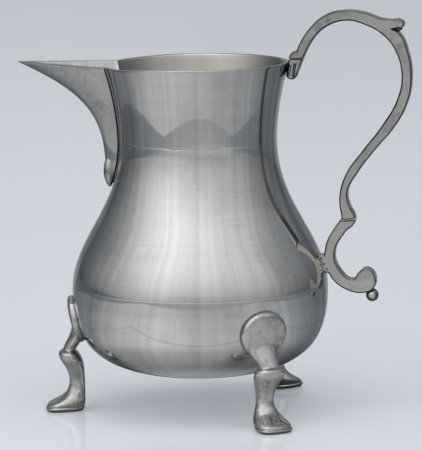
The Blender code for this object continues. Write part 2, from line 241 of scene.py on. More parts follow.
# Legs: rings of the round pad, each its half width and half height, how far its lowest point is below
# the pad's middle, and how far it stands out from the belly
PAD_HEIGHT = BELLY_HEIGHT - 0.0087
PAD_RINGS = (
    (0.0062, 0.0057, 0.0057, -0.0004),
    (0.0071, 0.0066, 0.0066, -0.0004),
    (0.0072, 0.0067, 0.0067, -0.0002),
    (0.0072, 0.0067, 0.0067, 0.0009),
    (0.0072, 0.0067, 0.0067, 0.0012),
    (0.0070, 0.0065, 0.0066, 0.0016),
    (0.0066, 0.0061, 0.0064, 0.0018),
    (0.0061, 0.0056, 0.0062, 0.0019),
    (0.0056, 0.0049, 0.0061, 0.0019),
    (0.0051, 0.0042, 0.0060, 0.0020),
)

# Legs: rings of the stem from the hip down. Each has its front and its back (out from the jug's axis,
# height), its width, how much wider its front is, how square its corners are, and its share of the sway
STEM_RINGS = (
    # Hip
    ((0.0384, 0.0262), (0.0360, 0.0211), 0.0097, 0, 0, 0.1),
    ((0.0386, 0.0247), (0.0359, 0.0208), 0.0090, 0, 0, 0.2),
    ((0.0391, 0.0230), (0.0360, 0.0204), 0.0081, 0, 0.03, 0.4),
    ((0.0400, 0.0212), (0.0365, 0.0198), 0.0071, 0, 0.06, 0.6),
    ((0.0409, 0.0196), (0.0371, 0.0191), 0.0064, 0, 0.08, 0.8),
    ((0.0411, 0.0187), (0.0373, 0.0185), 0.0061, 0, 0.10, 0.9),
    # Knee
    ((0.0418, 0.0183), (0.0371, 0.0182), 0.0070, 0, 0.12, 1),
    ((0.0424, 0.0178), (0.0367, 0.0178), 0.0087, 0, 0.12, 1),
    ((0.0426, 0.0171), (0.0361, 0.0171), 0.0094, 0, 0.12, 1),
    ((0.0423, 0.0158), (0.0354, 0.0157), 0.0094, 0, 0.12, 1),
    # Shin and ankle
    ((0.0412, 0.0142), (0.0349, 0.0140), 0.0083, 0, 0.10, 0.8),
    ((0.0402, 0.0126), (0.0348, 0.0123), 0.0069, 0, 0.10, 0.6),
    ((0.0395, 0.0107), (0.0348, 0.0105), 0.0057, 0, 0.10, 0.4),
    ((0.0393, 0.0088), (0.0347, 0.0086), 0.0052, 0, 0.10, 0.3),
    # Slipper foot
    ((0.0396, 0.0073), (0.0347, 0.0069), 0.0054, 0, 0.08, 0.3),
    ((0.0403, 0.0057), (0.0347, 0.0052), 0.0068, 0.05, 0.08, 0.3),
    ((0.0416, 0.0046), (0.0347, 0.0039), 0.0083, 0.10, 0.08, 0.3),
    ((0.0434, 0.0036), (0.0347, 0.0028), 0.0095, 0.15, 0.10, 0.3),
    ((0.0453, 0.0027), (0.0348, 0.0020), 0.0101, 0.20, 0.14, 0.3),
    ((0.0463, 0.0019), (0.0350, 0.0015), 0.0099, 0.25, 0.20, 0.3),
    # Welt and sole
    ((0.0461, 0.0014), (0.0351, 0.0013), 0.0092, 0.28, 0.22, 0.3),
    ((0.0466, 0.0012), (0.0349, 0.0012), 0.0098, 0.30, 0.26, 0.3),
    ((0.0467, 0.0007), (0.0349, 0.0007), 0.0098, 0.30, 0.26, 0.3),
    ((0.0463, 0.0005), (0.0353, 0.0005), 0.0091, 0.30, 0.26, 0.3),
    ((0.0462, 0.0003), (0.0354, 0.0003), 0.0089, 0.30, 0.26, 0.3),
    ((0.0462, 0), (0.0354, 0), 0.0089, 0.30, 0.26, 0.3),
    ((0.0455, 0), (0.0361, 0), 0.0077, 0.30, 0.26, 0.3),
)

# How finely round shapes are faceted. The spout's shares of its half width are closer at the keel.
TURN_STEPS = 128
PROFILE_STEPS = 16
RIM_STEPS = 4
SEAM_STEPS = 2
SPOUT_STEPS = 26
SPOUT_SHARES = (0, 0.03, 0.07, 0.13, 0.22, 0.34, 0.48, 0.63, 0.78, 0.9, 1)
SPOUT_EDGE_STEPS = 2
OUTLINE_STEPS = 8
HANDLE_EDGE_STEPS = 1
LEG_SIDES = 24
LEG_SUBDIVISIONS = 2
BALL_SIDES = 32
BALL_RINGS = 24
ROD_SIDES = 16
STAGE_SIDES = 64

# Points closer than MERGE become one, outline points that turn less than STRAIGHT are left out, edges that
# turn more than SHARP_EDGE shade as corners, and the handle's faces that look aside by FLAT_FACE shade flat
MERGE = 0.000005
STRAIGHT = math.radians(0.4)
SHARP_EDGE = math.radians(32)
FLAT_FACE = 0.9999

# How far above and below a point the wall's lean is measured
LEAN_STEP = 0.0004

# The jug's axis in the frame
lowest, highest = (Vector(corner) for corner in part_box("body_lower"))
AXIS = (lowest + highest) / 2
AXIS.z = 0


# Body profile: (radius, height) points from the rim down to the middle of the underside


def outer_profile():
    """Three curves: rim to neck, neck to belly and belly to the middle of the base."""
    rim = Vector((RIM_RADIUS, RIM_HEIGHT))
    neck = Vector((NECK_RADIUS, NECK_HEIGHT))
    belly = Vector((BELLY_RADIUS, BELLY_HEIGHT))
    base = Vector((0, BASE_HEIGHT))
    flare = rim - Vector((RIM_FLARE_IN, RIM_FLARE_DOWN))
    above_neck = neck + Vector((0, NECK_RUN_UP))
    below_neck = neck - Vector((0, NECK_RUN_DOWN))
    above_belly = belly + Vector((0, BELLY_RUN_UP))
    below_belly = belly - Vector((0, BELLY_RUN_DOWN))
    round_base = base + Vector((BASE_RUN_OUT, 0))
    points = interpolate_bezier(rim, flare, above_neck, neck, PROFILE_STEPS)
    points += interpolate_bezier(neck, below_neck, above_belly, belly, 2 * PROFILE_STEPS)[1:]
    points += interpolate_bezier(belly, below_belly, round_base, base, 2 * PROFILE_STEPS)[1:]
    return points


PROFILE = outer_profile()


def radius_at(height):
    """The body's outside radius at a height."""
    for upper, lower in zip(PROFILE, PROFILE[1:]):
        if lower.y <= height <= upper.y:
            share = (height - lower.y) / (upper.y - lower.y)
            return lower.x + share * (upper.x - lower.x)
    return RIM_RADIUS


def on_profile(height, depth=0):
    """The profile's point at a height, or one that is cut into it."""
    return Vector((radius_at(height) - depth, height))


def beside_wall(azimuth, height, out):
    """A point off the body's outside: around it from the handle, above the ground, square out."""
    spread = radius_at(height + LEAN_STEP) - radius_at(height - LEAN_STEP)
    lean = math.atan2(spread, 2 * LEAN_STEP)
    radius = radius_at(height) + out * math.cos(lean)
    return Vector((radius * math.cos(azimuth), radius * math.sin(azimuth), height - out * math.sin(lean)))


def smooth_step(value, start, end):
    """Goes smoothly from 0 at the start to 1 at the end."""
    share = min(max((value - start) / (end - start), 0), 1)
    return share * share * (3 - 2 * share)


# Making pieces


def close_up(builder):
    """Merges doubles and turns every face outwards."""
    bmesh.ops.remove_doubles(builder, verts=builder.verts, dist=MERGE)
    bmesh.ops.recalc_face_normals(builder, faces=builder.faces)


def mesh_of(name, builder):
    """The builder's shape as a mesh. The builder is used up."""
    mesh = bpy.data.meshes.new(name)
    builder.to_mesh(mesh)
    builder.free()
    return mesh


def evaluated_mesh(obj, name):
    """A mesh of the object as its modifiers or its curve make it."""
    bpy.context.view_layer.update()
    graph = bpy.context.evaluated_depsgraph_get()
    mesh = bpy.data.meshes.new_from_object(obj.evaluated_get(graph))
    mesh.name = name
    return mesh


def combined(casting, shapes, operation):
    """The casting with closed shapes melted into it or cut out of it, as a new builder."""
    objects = []
    for i, shape in enumerate([casting, *shapes]):
        obj = bpy.data.objects.new(f"shape_{i}", mesh_of(f"shape_{i}", shape))
        bpy.context.scene.collection.objects.link(obj)
        objects.append(obj)
    for other in objects[1:]:
        boolean = objects[0].modifiers.new(other.name, "BOOLEAN")
        boolean.operation = operation
        boolean.solver = "EXACT"
        boolean.object = other
    mesh = evaluated_mesh(objects[0], "combined")
    for obj in objects:
        bpy.data.objects.remove(obj)
    result = bmesh.new()
    result.from_mesh(mesh)
    bpy.data.meshes.remove(mesh)
    return result


def grown(rings):
    """A closed shape: a face on the first ring of points, extruded through the others."""
    builder = bmesh.new()
    bmesh.ops.create_circle(builder, cap_ends=True, segments=len(rings[0]), radius=1)
    cap = builder.faces[:][0]
    for vert, point in zip(cap.verts, rings[0]):
        vert.co = point
    for ring in rings[1:]:
        cap = bmesh.ops.extrude_discrete_faces(builder, faces=[cap])["faces"][0]
        for vert, point in zip(cap.verts, ring):
            vert.co = point
    bmesh.ops.holes_fill(builder, edges=[e for e in builder.edges if e.is_boundary], sides=0)
    close_up(builder)
    return builder


def ball(place, size, point=0):
    """An egg of a size around a place, drawn to a point below."""
    builder = bmesh.new()
    bmesh.ops.create_uvsphere(builder, u_segments=BALL_SIDES, v_segments=BALL_RINGS, radius=0.5)
    for vert in builder.verts:
        below = max(-2 * vert.co.z, 0)
        vert.co.xy *= 1 - point * below**2
    matrix = Matrix.Translation(place) @ Matrix.Diagonal((*size, 1))
    bmesh.ops.transform(builder, matrix=matrix, verts=builder.verts)
    return builder


def rod(start, end, radius):
    """A round bar between two points."""
    builder = bmesh.new()
    along = end - start
    bmesh.ops.create_cone(
        builder, cap_ends=True, segments=ROD_SIDES, radius1=radius, radius2=radius, depth=along.length
    )
    matrix = Matrix.Translation((start + end) / 2) @ along.to_track_quat("Z", "Y").to_matrix().to_4x4()
    bmesh.ops.transform(builder, matrix=matrix, verts=builder.verts)
    return builder


def set_in_place(node, builder, finish, subdivisions=0, flat_sides=False):
    """Makes the piece that stands for a CAD node: moved to the jug's axis, finished, and riding the jug."""
    bmesh.ops.translate(builder, vec=AXIS, verts=builder.verts)
    mesh = mesh_of(f"{node}_looks", builder)
    mesh.materials.append(finish)
    piece = bpy.data.objects.new(f"{node}_looks", mesh)
    bpy.context.scene.collection.objects.link(piece)
    mesh.shade_smooth()
    mesh.set_sharp_from_angle(angle=SHARP_EDGE)
    if flat_sides:
        for face in mesh.polygons:
            face.use_smooth = abs(face.normal.y) < FLAT_FACE
    if subdivisions:
        subdivide = piece.modifiers.new("rounding", "SUBSURF")
        subdivide.levels = subdivisions
        subdivide.render_levels = subdivisions
    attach(piece, "root")
    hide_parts(node)


# Body


def spun_sheet(points):
    """The profile swept round the Z axis, as a sheet that faces outwards."""
    builder = bmesh.new()
    verts = [builder.verts.new((point.x, 0, point.y)) for point in points]
    edges = [builder.edges.new(pair) for pair in zip(verts, verts[1:])]
    bmesh.ops.spin(
        builder,
        geom=verts + edges,
        cent=(0, 0, 0),
        axis=(0, 0, 1),
        angle=math.tau,
        steps=TURN_STEPS,
        use_merge=True,
    )
    close_up(builder)
    middle = builder.faces[:][0]
    if middle.normal.dot(middle.calc_center_median().xy.to_3d()) < 0:
        bmesh.ops.reverse_faces(builder, faces=builder.faces)
    return builder


def level_edges(builder, height):
    """The circles of edges that lie level at a height."""
    return [e for e in builder.edges if all(abs(v.co.z - height) < MERGE for v in e.verts)]


def round_edges(builder, edges, rounding, segments):
    """Rounds edges, in a number of steps."""
    bmesh.ops.bevel(
        builder,
        geom=edges,
        offset=rounding,
        offset_type="OFFSET",
        affect="EDGES",
        segments=segments,
        profile=0.5,
        material=-1,
    )


def in_notch(point):
    """Whether a point of the wall is inside the V behind the spout."""
    rise = (point.z - NOTCH_BOTTOM) / (RIM_HEIGHT - NOTCH_BOTTOM)
    return point.x < 0 and abs(point.y) < NOTCH_HALF_WIDTH * rise


def cut_notch(builder):
    """Cuts the V behind the spout out of the sheet, along two leaning planes."""
    bottom = Vector((0, 0, NOTCH_BOTTOM))
    for side in (-1, 1):
        slope = Vector((0, side * NOTCH_HALF_WIDTH, RIM_HEIGHT - NOTCH_BOTTOM))
        faces = [f for f in builder.faces if all(v.co.x < 0 for v in f.verts)]
        faces = [f for f in faces if max(v.co.z for v in f.verts) > NOTCH_BOTTOM]
        edges = {e for f in faces for e in f.edges}
        verts = {v for f in faces for v in f.verts}
        bmesh.ops.bisect_plane(
            builder,
            geom=[*verts, *edges, *faces],
            dist=MERGE,
            plane_co=bottom,
            plane_no=slope.cross(Vector((1, 0, 0))),
        )
    waste = [f for f in builder.faces if in_notch(f.calc_center_median())]
    bmesh.ops.delete(builder, geom=waste, context="FACES")


def sink_beside_spout(builder):
    """Lets the rim sink a little on either side of the spout, more on the near side."""
    for vert in builder.verts:
        from_spout = math.atan2(abs(vert.co.y), -vert.co.x)
        dip = DIP_NEAR if vert.co.y < 0 else DIP_FAR
        beside = 1 - smooth_step(from_spout, DIP_START, DIP_END)
        beside *= min(abs(vert.co.y) / NOTCH_HALF_WIDTH, 1)
        high = smooth_step(vert.co.z, RIM_HEIGHT - DIP_HEIGHT, RIM_HEIGHT)
        vert.co.z -= dip * beside * high


def thin_rim(builder):
    """Levels the rim, and brings the wall's inside outwards below it."""
    for vert in builder.verts:
        vert.co.z = min(vert.co.z, RIM_HEIGHT)
        radius = math.hypot(vert.co.x, vert.co.y)
        if radius < radius_at(vert.co.z) - WALL / 2:
            thinned = (WALL - RIM_WALL) * smooth_step(vert.co.z, RIM_HEIGHT - RIM_TAPER, RIM_HEIGHT)
            vert.co.xy *= 1 + thinned / radius


def wander_neck_line(builder):
    """Lets the line around the neck go up and down a little."""
    for vert in builder.verts:
        if abs(vert.co.z - NECK_LINE_HEIGHT) < NECK_LINE_ROOM:
            azimuth = math.atan2(vert.co.y, vert.co.x)
            waves = (height * math.sin(count * azimuth + start) for height, count, start in NECK_LINE_WAVES)
            vert.co.z += sum(waves)


def make_body_upper(finish):
    """The wall from the rim down to the seam."""
    edge = SEAM_HEIGHT + SEAM_GAP / 2
    line = [on_profile(NECK_LINE_HEIGHT + above, depth) for above, depth in NECK_LINE]
    points = [point for point in PROFILE if point.y > line[0].y + NECK_LINE_ROOM] + line
    points += [point for point in PROFILE if edge + 2 * SEAM_GUARD < point.y < line[-1].y - NECK_LINE_ROOM]
    builder = spun_sheet(points + [on_profile(edge + SEAM_GUARD), on_profile(edge)])
    wander_neck_line(builder)
    cut_notch(builder)
    bmesh.ops.solidify(builder, geom=builder.faces[:], thickness=WALL)
    thin_rim(builder)
    round_edges(builder, level_edges(builder, RIM_HEIGHT), RIM_ROUNDING, RIM_STEPS)
    round_edges(builder, level_edges(builder, edge), SEAM_ROUNDING, SEAM_STEPS)
    sink_beside_spout(builder)
    set_in_place("body_upper", builder, finish)


def make_body_lower(finish):
    """The bowl from the seam down."""
    edge = SEAM_HEIGHT - SEAM_GAP / 2
    points = [point for point in PROFILE if point.y < edge - 2 * SEAM_GUARD]
    builder = spun_sheet([on_profile(edge), on_profile(edge - SEAM_GUARD)] + points)
    bmesh.ops.solidify(builder, geom=builder.faces[:], thickness=WALL)
    round_edges(builder, level_edges(builder, edge), SEAM_ROUNDING, SEAM_STEPS)
    set_in_place("body_lower", builder, finish)


# Spout


def keel_line():
    """(reach from the axis, height) points along the keel, from the throat to the tip."""
    throat = Vector((radius_at(THROAT_HEIGHT) + THROAT_STAND_OFF, THROAT_HEIGHT))
    tip = Vector((SPOUT_TIP_REACH, RIM_HEIGHT))
    return interpolate_bezier(throat, throat + Vector(THROAT_RUN), tip - Vector(TIP_RUN), tip, SPOUT_STEPS)


def spout_half_width(height):
    """Half the spout's width beside the wall, which spreads towards the rim."""
    rise = max(height - THROAT_HEIGHT, 0) / (RIM_HEIGHT - THROAT_HEIGHT)
    return (THROAT_WIDTH + (SPOUT_TOP_WIDTH - THROAT_WIDTH) * rise**SPOUT_SPREAD) / 2


def level_ring(half, height):
    """A closed ring, from (out from the axis, aside) points of half a level section, from the keel back."""
    near = [Vector((-out, -aside, height)) for out, aside in reversed(half)]
    far = [Vector((-out, aside, height)) for out, aside in half[1:]]
    return near + far


def spout_side(keel, root, half_width, rounding, bulge):
    """(out, aside) points of one side of the V, from its rounded keel back to its root."""
    full = math.hypot(half_width, rounding) - rounding
    half = []
    for share in SPOUT_SHARES:
        run = (math.hypot(half_width * share, rounding) - rounding) / full
        half.append((keel + (root - keel) * run, half_width * (share + bulge * share * (1 - share))))
    return half


def around_axis(radius, aside):
    """How far out from the axis, towards the spout, a point on a circle around the axis is."""
    return math.sqrt(radius**2 - aside**2)


def spout_ring(keel, height, half_width):
    """A level section of the spout: keel, sides, and the flanges that step in to the wall."""
    rise = smooth_step(height, THROAT_HEIGHT, RIM_HEIGHT)
    stand_off = THROAT_FLANGE_STAND_OFF + (FLANGE_STAND_OFF - THROAT_FLANGE_STAND_OFF) * math.sqrt(rise)
    stand_off = min(stand_off, (keel - radius_at(height)) / 2)
    flange = radius_at(height) + stand_off
    bulge = SPOUT_BULGE * (1 - rise / 2)
    half = spout_side(keel, around_axis(flange, half_width), half_width, KEEL_ROUNDING, bulge)
    for inward, share in FLANGE_SECTION:
        aside = half_width - min(FLANGE_STEP, half_width / 2) * share
        half.append((around_axis(flange - (stand_off + SPOUT_SINK) * inward, aside), aside))
    return level_ring(half, height)


def channel_ring(keel, height, half_width):
    """A level section of the channel: the spout's, less its wall, and open to the notch."""
    root = around_axis(radius_at(height) + FLANGE_STAND_OFF, half_width)
    slope = half_width / (keel - root)
    point = keel - SPOUT_WALL * math.hypot(1, slope) / slope
    width = (point - root) * slope
    half = spout_side(point, root, width, CHANNEL_ROUNDING, 0)
    opening = min(width, half_width - FLANGE_STEP - SPOUT_WALL / 2)
    half.append((around_axis(radius_at(height) - 2 * WALL, opening), opening))
    return level_ring(half, height)


def make_spout(finish):
    """The V drawn up ring by ring, with its channel cut out and its drop melted on."""
    line = keel_line()
    rings = [spout_ring(radius_at(z) + out, z, width / 2) for z, out, width in SPOUT_TAIL]
    rings += [spout_ring(keel, z, spout_half_width(z)) for keel, z in line]
    spout = grown(rings)
    channel = [channel_ring(keel, z, spout_half_width(z)) for keel, z in line if z > CHANNEL_BOTTOM]
    channel.append([point + Vector((0, 0, SPOUT_WALL)) for point in channel[-1]])
    spout = combined(spout, [grown(channel)], "DIFFERENCE")
    whole = [*spout.verts, *spout.edges, *spout.faces]
    bmesh.ops.bisect_plane(spout, geom=whole, dist=MERGE, plane_co=(0, 0, 0), plane_no=(0, 1, 0))
    edges = [e for e in level_edges(spout, RIM_HEIGHT) if any(abs(v.co.y) > MERGE for v in e.verts)]
    round_edges(spout, edges, SPOUT_EDGE_ROUNDING, SPOUT_EDGE_STEPS)
    place = (-radius_at(BEAD_HEIGHT) - BEAD_STAND_OFF, 0, BEAD_HEIGHT)
    spout = combined(spout, [ball(place, BEAD_SIZE, BEAD_POINT)], "UNION")
    sink_beside_spout(spout)
    set_in_place("spout", spout, finish)


# Handle


def handle_point(out, down):
    """(out from the axis, height) of a place on the handle's outline."""
    lug_radius = radius_at(RIM_HEIGHT - LUG_DROP)
    seat_line = RIM_RADIUS + (lug_radius - RIM_RADIUS) * down / LUG_DROP
    return Vector((seat_line + out, RIM_HEIGHT - down))


def handle_outline():
    """The outline as a closed loop of edges, standing in the XZ plane."""
    curve = bpy.data.curves.new("handle_outline", "CURVE")
    curve.dimensions = "2D"
    curve.fill_mode = "NONE"
    curve.resolution_u = OUTLINE_STEPS
    spline = curve.splines.new("BEZIER")
    spline.bezier_points.add(len(HANDLE_OUTLINE) - 1)
    spline.use_cyclic_u = True
    for point, (out, down, corner) in zip(spline.bezier_points, HANDLE_OUTLINE):
        place = handle_point(out, down)
        point.co = (place.x, place.y, 0)
        point.handle_left_type = "VECTOR" if corner else "AUTO"
        point.handle_right_type = "VECTOR" if corner else "AUTO"
    outline = bpy.data.objects.new("handle_outline", curve)
    bpy.context.scene.collection.objects.link(outline)
    mesh = evaluated_mesh(outline, "handle_outline")
    bpy.data.objects.remove(outline)
    builder = bmesh.new()
    builder.from_mesh(mesh)
    bpy.data.meshes.remove(mesh)
    bmesh.ops.rotate(builder, matrix=Matrix.Rotation(math.pi / 2, 3, "X"), verts=builder.verts)
    bmesh.ops.remove_doubles(builder, verts=builder.verts, dist=MERGE)
    bmesh.ops.dissolve_limit(builder, angle_limit=STRAIGHT, verts=builder.verts, edges=builder.edges)
    return builder


def handle_strap():
    """The outline filled, extruded to the strap's thickness, and rounded along both faces."""
    builder = handle_outline()
    bmesh.ops.edgeloop_fill(builder, edges=builder.edges[:])
    bmesh.ops.translate(builder, vec=(0, -HANDLE_THICKNESS / 2, 0), verts=builder.verts)
    grown_side = bmesh.ops.extrude_face_region(builder, geom=builder.faces[:])["geom"]
    far_verts = [item for item in grown_side if isinstance(item, bmesh.types.BMVert)]
    bmesh.ops.translate(builder, vec=(0, HANDLE_THICKNESS, 0), verts=far_verts)
    close_up(builder)
    edges = [e for e in builder.edges if abs(e.verts[0].co.y - e.verts[1].co.y) < MERGE]
    round_edges(builder, edges, HANDLE_EDGE_ROUNDING, HANDLE_EDGE_STEPS)
    return builder


def on_face(out, down, side, sink=0):
    """A place on one of the handle's two flat faces, or below it."""
    place = handle_point(out, down)
    return Vector((place.x, side * (HANDLE_THICKNESS / 2 - sink), place.y))


def make_handle(finish):
    """The strap with its bud and lumps melted on, and the grooves and pits cut into both faces."""
    place = handle_point(*SCROLL_FOOT) - Vector((BUD_INWARDS, BUD_DOWN))
    lumps = [ball((place.x, 0, place.y), BUD_SIZE)]
    for spot, size in HANDLE_LUMPS:
        place = handle_point(*spot)
        lumps.append(ball((place.x, 0, place.y), size))
    cuts = []
    for side in (-1, 1):
        for start, end, radius in HANDLE_GROOVES:
            cuts.append(rod(on_face(*start, side, GROOVE_SINK), on_face(*end, side, GROOVE_SINK), radius))
        for pit in LUG_PITS:
            cuts.append(ball(on_face(*pit, side), [2 * LUG_PIT_RADIUS] * 3))
    handle = combined(handle_strap(), lumps, "UNION")
    handle = combined(handle, cuts, "DIFFERENCE")
    set_in_place("handle", handle, finish, flat_sides=True)


# Legs


def blunted(value, bluntness):
    """A sine or cosine pushed outwards, which makes an oval squarer."""
    return math.copysign(abs(value) ** (1 - bluntness), value)


def pad_ring(angles, half_width, half_height, reach_down, out):
    """A ring off the belly, around the middle of the pad, for a leg that stands under +X."""
    middle = PAD_HEIGHT - reach_down + half_height
    ring = []
    for angle in angles:
        azimuth = half_width * math.cos(angle) / radius_at(PAD_HEIGHT)
        ring.append(beside_wall(azimuth, middle + half_height * math.sin(angle), out))
    return ring


def stem_ring(angles, sway, front, back, width, taper, bluntness, share):
    """An oval ring across the stem, from its front to its back."""
    front = Vector(front)
    back = Vector(back)
    ring = []
    for angle in angles:
        along = blunted(math.sin(angle), bluntness)
        across = blunted(math.cos(angle), bluntness) * (1 + taper * along)
        place = (front + back) / 2 + (front - back) / 2 * along
        ring.append(Vector((place.x, width / 2 * across + sway * share, place.y)))
    return ring


def make_leg(node, finish):
    """The pad on the belly, from which the hip, knee, ankle and foot are drawn out ring by ring."""
    azimuth, sway = LEGS[node]
    angles = [math.tau * i / LEG_SIDES for i in range(LEG_SIDES)]
    rings = [pad_ring(angles, *sizes) for sizes in PAD_RINGS]
    rings += [stem_ring(angles, sway, *sizes) for sizes in STEM_RINGS]
    builder = grown(rings)
    bmesh.ops.rotate(builder, matrix=Matrix.Rotation(math.radians(azimuth), 3, "Z"), verts=builder.verts)
    set_in_place(node, builder, finish, LEG_SUBDIVISIONS)


# Shader maths


class Wire:
    """One output of a node. Arithmetic on wires adds Math nodes to their tree."""

    def __init__(self, tree, socket):
        self.tree = tree
        self.socket = socket

    def math(self, operation, *values):
        """A Math node of the values, in their order, in this wire's tree."""
        return add_node(self.tree, "ShaderNodeMath", {"operation": operation}, dict(enumerate(values)))

    def other(self, output):
        """Another output of the same node."""
        return Wire(self.tree, self.socket.node.outputs[output])

    def feed(self, node, name):
        """Links this wire to a socket of a node."""
        self.tree.links.new(self.socket, node.inputs[name])

    def __add__(self, value):
        return self.math("ADD", self, value)

    def __radd__(self, value):
        return self.math("ADD", value, self)

    def __sub__(self, value):
        return self.math("SUBTRACT", self, value)

    def __rsub__(self, value):
        return self.math("SUBTRACT", value, self)

    def __mul__(self, value):
        return self.math("MULTIPLY", self, value)

    def __rmul__(self, value):
        return self.math("MULTIPLY", value, self)


def add_node(tree, kind, settings, sockets, output=0):
    """Adds a node, with its settings first and then its sockets' values or links, and returns an output."""
    node = tree.nodes.new(kind)
    for name, value in settings.items():
        if name == "stops":
            ramp = node.color_ramp
            while len(ramp.elements) < len(value):
                ramp.elements.new(1)
            for element, (position, colour) in zip(ramp.elements, value):
                element.position = position
                element.color = (*colour, 1)
        else:
            setattr(node, name, value)
    for name, value in sockets.items():
        if isinstance(value, Wire):
            tree.links.new(value.socket, node.inputs[name])
        else:
            node.inputs[name].default_value = value
    return Wire(tree, node.outputs[output])


# A Mix node has sockets of one name for each type of data, so its colour sockets are told by their place
MIX_FACTOR = 0
MIX_FIRST = 6
MIX_SECOND = 7
MIX_COLOUR = 2


def mix(tree, factor, first, second):
    """A colour that goes from the first to the second with the factor."""
    sockets = {MIX_FACTOR: factor, MIX_FIRST: first, MIX_SECOND: second}
    return add_node(tree, "ShaderNodeMix", {"data_type": "RGBA"}, sockets, MIX_COLOUR)


def ramp_between(tree, value, start, end, low=0.0, high=1.0):
    """Goes smoothly from low to high as the value goes from start to end."""
    sockets = {"Value": value, "From Min": start, "From Max": end, "To Min": low, "To Max": high}
    return add_node(tree, "ShaderNodeMapRange", {"interpolation_type": "SMOOTHSTEP"}, sockets)


def vector_math(tree, operation, first, second, output="Vector"):
    """Vector Math on two vectors, whose output is a vector or a value."""
    return add_node(tree, "ShaderNodeVectorMath", {"operation": operation}, {0: first, 1: second}, output)


def scaled(tree, colour, factor):
    """A colour made lighter or darker by a factor."""
    return add_node(tree, "ShaderNodeVectorMath", {"operation": "SCALE"}, {0: colour, "Scale": factor})


def part_of(tree, vector, axis):
    """One of a vector's three numbers."""
    return add_node(tree, "ShaderNodeSeparateXYZ", {}, {"Vector": vector}, axis)


def noise(tree, place, scale, detail):
    """Noise that changes in all directions."""
    return add_node(tree, "ShaderNodeTexNoise", {}, {"Vector": place, "Scale": scale, "Detail": detail})


def line_noise(tree, along, scale, detail):
    """Noise that changes along one line only."""
    sockets = {"W": along, "Scale": scale, "Detail": detail}
    return add_node(tree, "ShaderNodeTexNoise", {"noise_dimensions": "1D"}, sockets)


def new_material(name):
    """A material, its tree and its shader."""
    material = bpy.data.materials.new(name)
    material.use_nodes = True
    return material, material.node_tree, material.node_tree.nodes["Principled BSDF"]


# Pewter

# Finishes: light colour, dark colour and roughness
FINISHES = {
    "turned_pewter": ((0.62, 0.62, 0.61), (0.46, 0.46, 0.45), 0.03),
    # A lighter copy of the turned finish: painted light on the bowl
    "bowl_pewter_painted_lighter": ((0.69, 0.69, 0.68), (0.51, 0.51, 0.50), 0.03),
    # A darker copy of the cast finish: painted shade on the spout
    "spout_pewter_painted_darker": ((0.44, 0.445, 0.445), (0.32, 0.325, 0.325), 0.05),
    "cast_pewter": ((0.57, 0.57, 0.555), (0.36, 0.36, 0.345), 0.045),
    # A darker copy of the cast finish: painted shade on the handle
    "filed_pewter_painted_light_and_shade": ((0.44, 0.435, 0.42), (0.29, 0.285, 0.275), 0.06),
}

# Marks, as the scale and detail of their noise
TURNED_CLOUDS = (48, 6)
CAST_CLOUDS = (150, 6)
MOTTLE = (520, 3)
WAVES = (95, 2)
RIPPLE = (420, 1)
FINE_LINES = (2600, 2)
BROAD_LINES = (300, 3)
SCRATCHES = (1500, 2)
LUMPS = (330, 2)
PIT_SCALE = 260

# Marks: where on their noise they begin and are full
DULL_CLOUDS = (0.40, 0.70)
PITTED_CLOUDS = (0.48, 0.56)
PIT_REACH = (0.12, 0.05)
SPOTTED_MOTTLE = (0.36, 0.64)

# Marks: how scratches lie and are drawn out, and how the lines around a turned piece follow its slope
SCRATCH_TURN = (0.5, 0.3, 0)
SCRATCH_STRETCH = (1, 1, 0.12)
LINE_SLOPE = 0.7

# Marks: their shares in the shade, from the light colour at 0 to the dark one at 1, and what is taken off
# their sum
CLOUD_SHADE = 0.75
MOTTLE_SHADE = 0.35
FINE_LINE_SHADE = 0.5
BROAD_LINE_SHADE = 0.35
SPOT_SHADE = 0.45
SCRATCH_SHADE = 0.4
SHADE_OFF = 0.57

# Marks: their shares in the roughness
CLOUD_ROUGHNESS = 0.03
MOTTLE_ROUGHNESS = 0.02
LINE_ROUGHNESS = 0.02
INSIDE_ROUGHNESS = 0.14
TARNISH_ROUGHNESS = 0.25

# Marks: their shares in the bump, and its height in metres
WAVE_BUMP = 0.45
RIPPLE_BUMP = 0.05
PIT_BUMP = 0.25
FINE_LINE_BUMP = 0.012
BROAD_LINE_BUMP = 0.05
SCRATCH_BUMP = 0.03
LUMP_BUMP = 0.5
BUMP_DISTANCE = 0.00006

# The body's inside is warm and dull, and is told by facing a point on the axis at this height
INSIDE_MIDDLE = 0.06
INSIDE_EDGE = 0.002
INSIDE_COLOUR = (0.40, 0.385, 0.355, 1)

# Tarnish: how much there is in pits, and of tarnish and painted shade in crevices and where parts meet, and
# how far and how closed in a crevice is
TARNISH_AND_PAINTED_SHADE_COLOUR = (0.09, 0.09, 0.085, 1)
PIT_TARNISH = 0.35
CREVICE_TARNISH_AND_SHADE = 0.9
CREVICE_REACH = 0.0012
CREVICE_OPENNESS = (0.9, 0.4)
CREVICE_SAMPLES = 8

# Filed pewter: a painted dark reflection along its edges and less on its sides, by how squarely they face
# the near or the far side, and painted light that makes its lower end paler, by height
EDGE_PAINTED_DARKNESS = 0.85
EDGE_FACING = (0.96, 0.8)
SIDE_FACING = (0.2, 0.6)
SIDE_SHARE = 0.6
PAINTED_LIGHT_BELOW = (0.082, 0.052)
PAINTED_LIGHT_COLOUR = (0.60, 0.59, 0.56, 1)


def pits_in(tree, place, clouds):
    """1 in the small pits, which lie in the dull clouds."""
    cells = add_node(tree, "ShaderNodeTexVoronoi", {}, {"Vector": place, "Scale": PIT_SCALE}, "Distance")
    return ramp_between(tree, cells, *PIT_REACH) * ramp_between(tree, clouds, *PITTED_CLOUDS)


